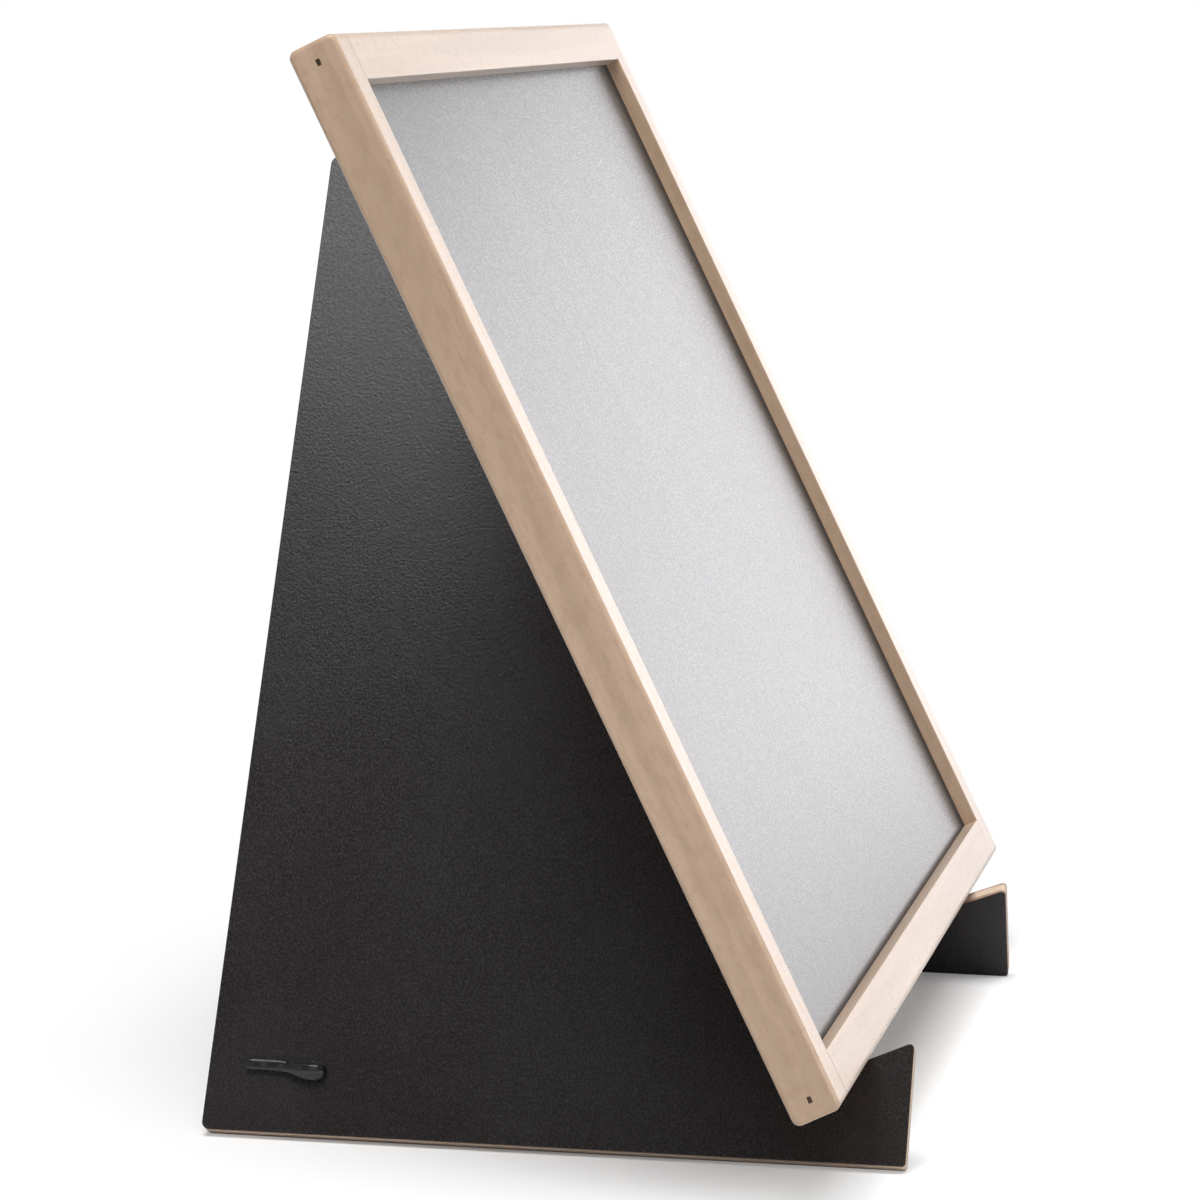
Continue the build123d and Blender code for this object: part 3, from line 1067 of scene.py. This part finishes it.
@dataclass
class Wing:
    """One black-faced wing of the stand.

    Attributes:
        side: Which wing it is.
        thickness: Its thickness.
        rear: Rear lower corner, along its foot.
        toe_reach: Front of its toe.
        toe_height: Height of its toe.
        seat: Corner of the notch that holds the board.
        front_top: Front end of its ridge.
        rear_top: Rear end of its ridge.
        radii: Radii of the six corners.
        arris: Width of its eased arris.
    """

    side: Side
    thickness: float = 5.3 * MM
    rear: float = -189.6 * MM
    toe_reach: float = 24.4 * MM
    toe_height: float = 38.2 * MM
    seat: tuple[float, float] = (-0.2235 * MM, 27 * MM)
    front_top: tuple[float, float] = (-131.99 * MM, 323.87 * MM)
    rear_top: tuple[float, float] = (-185.64 * MM, 323.87 * MM)
    radii: tuple[float, ...] = (2.5 * MM, 1.2 * MM, 1.5 * MM, 0.6 * MM, 3 * MM, 3 * MM)
    arris: float = 0.22 * MM

    def build(self, black: Material, edge: Material) -> bpy.types.Object:
        """Makes the wing.

        Args:
            black: Finish of its faces.
            edge: Finish of its sawn rim.

        Returns:
            The piece.
        """
        outline = [
            (self.rear, 0), (self.toe_reach, 0), (self.toe_reach, self.toe_height),
            self.seat, self.front_top, self.rear_top,
        ]
        board = cut_plate(outline, self.radii, self.thickness, self.arris)
        set_on_wing(board, self.side)
        wing = piece_from(board, f"{self.side.word}_wing_board", [black, black, edge])
        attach(wing, f"{self.side.word}_stand")
        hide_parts(f"{self.side.word}_wing")
        return wing


@dataclass(frozen=True)
class Section:
    """Cross-section of the stay's outer head, in millimetres.

    Attributes:
        place: Where it is along the bar.
        top: Its top edge.
        bottom: Its bottom edge.
        thick: How far it stands off the wing.
        shoulder: Width of the slope at its top.
        lip: Width of the slope at its bottom.
    """

    place: float
    top: float
    bottom: float
    thick: float
    shoulder: float
    lip: float

    def corners(self) -> list[Vector]:
        """Finds its corners.

        Returns:
            Its six corners, from the wing over the front and back.
        """
        outline = [
            (self.top, 0.0),
            (self.top, self.thick - self.shoulder),
            (self.top - self.shoulder, self.thick),
            (self.bottom + self.lip, self.thick),
            (self.bottom, self.thick - self.lip),
            (self.bottom, 0.0),
        ]
        return [Vector((self.place, up, out)) * MM for up, out in outline]


@dataclass
class StayHead:
    """Outer head of a stay anchor: a bar that swells into a thumb end.

    Attributes:
        side: Wing that it is on.
        anchor: Middle of the anchor on the wing's outer face.
        sections: Its shape, from the rear end to the thumb end.
        root_crease: Sharpness of its edges against the wing.
        side_crease: Sharpness of its other long edges.
        root_height: Height up to which an edge is against the wing.
        smoothing: Rounds of subdivision.
    """

    side: Side
    anchor: tuple[float, float] = (-165.2 * MM, 20.6 * MM)
    sections: tuple[Section, ...] = (
        Section(-12.3, 1.6, -1.65, 1.55, 0.4, 0.3),
        Section(-12.1, 1.75, -1.75, 1.8, 0.45, 0.4),
        Section(-6.0, 1.75, -1.75, 1.8, 0.45, 0.4),
        Section(-2.0, 1.75, -1.9, 1.9, 0.5, 0.4),
        Section(0.2, 1.75, -2.2, 2.1, 0.8, 0.5),
        Section(1.2, 2.0, -2.4, 2.4, 1.2, 0.6),
        Section(2.4, 1.75, -2.9, 2.8, 1.3, 0.8),
        Section(5.0, 1.5, -3.9, 3.5, 1.4, 1.5),
        Section(8.0, 1.2, -4.5, 4.0, 1.3, 2.2),
        Section(10.4, 0.95, -4.3, 3.9, 1.1, 2.0),
        Section(11.8, 0.7, -3.4, 3.4, 0.9, 1.3),
        Section(12.3, 0.3, -2.4, 2.6, 0.6, 0.8),
    )
    root_crease: float = 1.0
    side_crease: float = 0.6
    root_height: float = 0.01 * MM
    smoothing: int = 2

    def build(self, nylon: Material) -> bpy.types.Object:
        """Makes the head.

        Args:
            nylon: Its finish.

        Returns:
            The piece.
        """
        bar = bmesh.new()
        rear = [bar.verts.new(corner) for corner in self.sections[0].corners()]
        cap = bar.faces.new(rear)
        for index, section in enumerate(self.sections[1:]):
            grown = bmesh.ops.extrude_face_region(bar, geom=[cap])
            if index:
                bmesh.ops.delete(bar, geom=[cap], context="FACES_ONLY")
            cap = next(part for part in grown["geom"] if isinstance(part, bmesh.types.BMFace))
            for vert, corner in zip(cap.verts, section.corners()):
                vert.co = corner
        sharpness = bar.edges.layers.float.new("crease_edge")
        for edge in bar.edges:
            at_root = max(vert.co.z for vert in edge.verts) < self.root_height
            edge[sharpness] = self.root_crease if at_root else self.side_crease
        bmesh.ops.translate(bar, verts=bar.verts[:], vec=(*self.anchor, 0))
        set_on_wing(bar, self.side)
        for face in bar.faces:
            face.smooth = True
        head = piece_from(bar, f"stay_thumb_{self.side.word}", [nylon])
        smooth = head.modifiers.new("smooth", "SUBSURF")
        smooth.levels = smooth.render_levels = self.smoothing
        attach(head, f"{self.side.word}_stand")
        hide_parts(f"stay_head_{self.side.word}")
        return head


@dataclass
class Stand:
    """Wings, ridge hinge and folding stay.

    Attributes:
        faces: Finish of the wings' faces.
        nylon: Finish of the stay.
        steel: Finish of the hinge and of the stay's pins.
        rivets: Finish of the hinge's rivets.
    """

    faces: BlackFace = BlackFace()
    nylon: WornSkin = NYLON
    steel: PlatedSteel = PlatedSteel()
    rivets: PlatedSteel = PlatedSteel("blackened_steel", (0.10, 0.10, 0.105), (0.055, 0.055, 0.058))

    def build(self) -> None:
        """Makes the wings and the stay's heads, and dresses the rest."""
        black = self.faces.build()
        nylon = self.nylon.build()
        steel = self.steel.build()
        blackened = self.rivets.build()
        for side in Side:
            edge = CutEdge(f"{side.word}_cut_edge", STANCE.wing(side)).build()
            Wing(side).build(black, edge)
            StayHead(side).build(nylon)
            dress(f"hinge_leaf_{side.word}", steel)
            dress(f"hinge_rivets_{side.word}", blackened)
            dress(f"stay_eye_{side.word}", nylon)
            dress(f"stay_pin_{side.word}", steel)
        for node in ("hinge_pin", "stay_mid_rivets"):
            dress(node, steel)
        for node in ("stay_fork", "stay_blade"):
            dress(node, nylon)


class LampUse(Enum):
    """What a lamp is for."""

    BOTH = "both"
    FILL = "lights, and doesn't show in gloss"
    CARD = "shows in gloss alone"


@dataclass(frozen=True)
class Softbox:
    """One soft studio lamp.

    Attributes:
        name: Lamp's name.
        place: Where it hangs.
        aim: Point that it faces.
        size: Width and height.
        power: Power in watts.
        use: What the lamp is for.
        tint: Colour of its light.
    """

    name: str
    place: Point
    aim: Point
    size: tuple[float, float]
    power: float
    use: LampUse = LampUse.BOTH
    tint: Colour = (1.0, 1.0, 1.0)

    def build(self) -> None:
        """Hangs the lamp."""
        data = bpy.data.lights.new(self.name, "AREA")
        data.shape = "RECTANGLE"
        data.size, data.size_y = self.size
        data.energy = self.power
        data.color = self.tint
        lamp = bpy.data.objects.new(self.name, data)
        lamp.location = self.place
        gaze = Vector(self.aim) - Vector(self.place)
        lamp.rotation_euler = gaze.to_track_quat("-Z", "Y").to_euler()
        lamp.visible_camera = False
        lamp.visible_diffuse = self.use is not LampUse.CARD
        lamp.visible_glossy = self.use is not LampUse.FILL
        bpy.context.scene.collection.objects.link(lamp)


@dataclass
class Studio:
    """White surround, floor, lamps and camera.

    Attributes:
        eye: Camera's place.
        gaze: Point that it looks at.
        roll: Its turn about its own axis.
        lens: Its focal length in millimetres.
        sensor: Width of its sensor in millimetres.
        lamps: Soft lamps.
        ambient: Level of the surround for everything but the camera and gloss.
        ceiling_fade: Share of that level by the upward part of a direction.
        floor_size: Half the floor's width.
        floor_drop: Depth of the floor under the object's feet.
        floor_colour: Colour of the floor.
        floor_rough: Its roughness.
        floor_glow: Light that it adds to the camera's view.
        fade_middle: Middle of the part that isn't faded out.
        fade_stretch: Scale of the distance from that middle, along each axis.
        fade: Share of white by that distance.
    """

    eye: Point = (-1.60155, -0.2731, 0.34955)
    gaze: Point = (0.0, 0.01444, 0.1480)
    roll: float = math.radians(0.745)
    lens: float = 151.2
    sensor: float = 36.0
    lamps: tuple[Softbox, ...] = (
        Softbox("overhead", (-0.6, 0.25, 1.3), (0, 0, 0.25), (0.6, 0.6), 7),
        Softbox("ceiling", (-0.42, -0.1, 2.2), (0, 0, 0.1), (1.7, 1.7), 58, LampUse.FILL),
        Softbox("front_fill", (0.2, -1.9, 1.7), (0, 0, 0.15), (1.6, 1.2), 13),
        Softbox("low_front", (-0.6, -0.55, 0.1), (-0.1, -0.05, 0.08), (0.4, 0.25), 1.3),
        Softbox(
            "far_side", (2.4, -0.55, 0.2), (0, 0, 0.15), (2.2, 1.0), 11.8,
            LampUse.CARD, (1.0, 0.965, 1.0),
        ),
    )
    ambient: float = 0.235
    ceiling_fade: Step = Step(0.12, 0.65, 1.0, 0.15)
    floor_size: float = 6.0
    floor_drop: float = 0.02 * MM
    floor_colour: tuple[float, float, float, float] = (0.76, 0.76, 0.76, 1.0)
    floor_rough: float = 0.9
    floor_glow: float = 0.12
    fade_middle: Point = (0.04, 0.0, 0.0)
    fade_stretch: Point = (1.0, 1.35, 1.0)
    fade: Step = Step(0.175, 0.36)

    def build(self) -> None:
        """Makes the studio."""
        self.surround()
        self.floor()
        for lamp in self.lamps:
            lamp.build()
        self.camera()
        bpy.context.scene.view_settings.view_transform = "Standard"

    def surround(self) -> None:
        """White to the camera, and a dimmer ceiling to everything else."""
        world = bpy.data.worlds.new("white_surround")
        bpy.context.scene.world = world
        world.use_nodes = True
        wiring = Wiring(world.node_tree)
        path = wiring.add("ShaderNodeLightPath").outputs
        direction = wiring.add("ShaderNodeTexCoord").outputs["Generated"]
        fall = wiring.ramp(wiring.axes(direction)[2], self.ceiling_fade)
        dim = wiring.add("ShaderNodeMapRange")
        wiring.feed(dim, Value=path["Is Glossy Ray"], To_Min=self.ambient, To_Max=1.0)
        level = wiring.math("MULTIPLY", fall, dim.outputs["Result"])
        seen = wiring.math("MAXIMUM", path["Is Camera Ray"], path["Is Transmission Ray"])
        background = wiring.add("ShaderNodeBackground")
        strength = wiring.math("MAXIMUM", seen, level)
        wiring.feed(background, Color=(1.0, 1.0, 1.0, 1.0), Strength=strength)
        output = wiring.add("ShaderNodeOutputWorld")
        wiring.feed(output, Surface=background.outputs["Background"])

    def floor(self) -> None:
        """Plain pale floor, which fades into the surround."""
        sheet = bmesh.new()
        bmesh.ops.create_grid(sheet, x_segments=2, y_segments=2, size=self.floor_size)
        bmesh.ops.translate(sheet, verts=sheet.verts[:], vec=(0, 0, -self.floor_drop))
        bench = Bench("pale_floor")
        bench.surface(
            Base_Color=self.floor_colour, Roughness=self.floor_rough, Specular_IOR_Level=0.0,
        )
        path = bench.add("ShaderNodeLightPath").outputs
        middle = LeaningPlane(Vector(self.fade_middle), (0, 0, 0))
        spot = bench.scaled(bench.place(middle), self.fade_stretch)
        far = bench.feed(bench.add("ShaderNodeVectorMath", operation="LENGTH"), _0=spot)
        fade = bench.ramp(far.outputs["Value"], self.fade)
        glow = bench.add("ShaderNodeEmission")
        added = bench.math("MULTIPLY", path["Is Camera Ray"], self.floor_glow)
        bench.feed(glow, Strength=added)
        lit = bench.add("ShaderNodeAddShader")
        bench.feed(lit, _0=bench.shader.outputs[0], _1=glow.outputs[0])
        seen = bench.math("MAXIMUM", path["Is Camera Ray"], path["Is Glossy Ray"])
        seen = bench.math("MAXIMUM", seen, path["Is Transmission Ray"])
        share = bench.math("MULTIPLY", fade, seen)
        white = bench.add("ShaderNodeEmission")
        blend = bench.add("ShaderNodeMixShader")
        bench.feed(blend, _0=share, _1=lit.outputs[0], _2=white.outputs[0])
        bench.feed(bench.output, Surface=blend.outputs[0])
        piece_from(sheet, "floor", [bench.material])

    def camera(self) -> None:
        """Places the camera at the photograph's view."""
        data = bpy.data.cameras.new("camera")
        data.sensor_width = self.sensor
        data.lens = self.lens
        camera = bpy.data.objects.new("camera", data)
        gaze = Vector(self.gaze) - Vector(self.eye)
        turn = gaze.to_track_quat("-Z", "Y").to_matrix().to_4x4()
        roll = Matrix.Rotation(self.roll, 4, "Z")
        camera.matrix_world = Matrix.Translation(self.eye) @ turn @ roll
        bpy.context.scene.collection.objects.link(camera)
        bpy.context.scene.camera = camera


def main() -> None:
    """Builds the chalkboard and its studio, in order."""
    logging.basicConfig(level=logging.INFO, format="%(name)s: %(message)s")
    BoardFrame().build()
    WritingPanel().build()
    Stand().build()
    Studio().build()


if __name__ == "__main__":
    main()
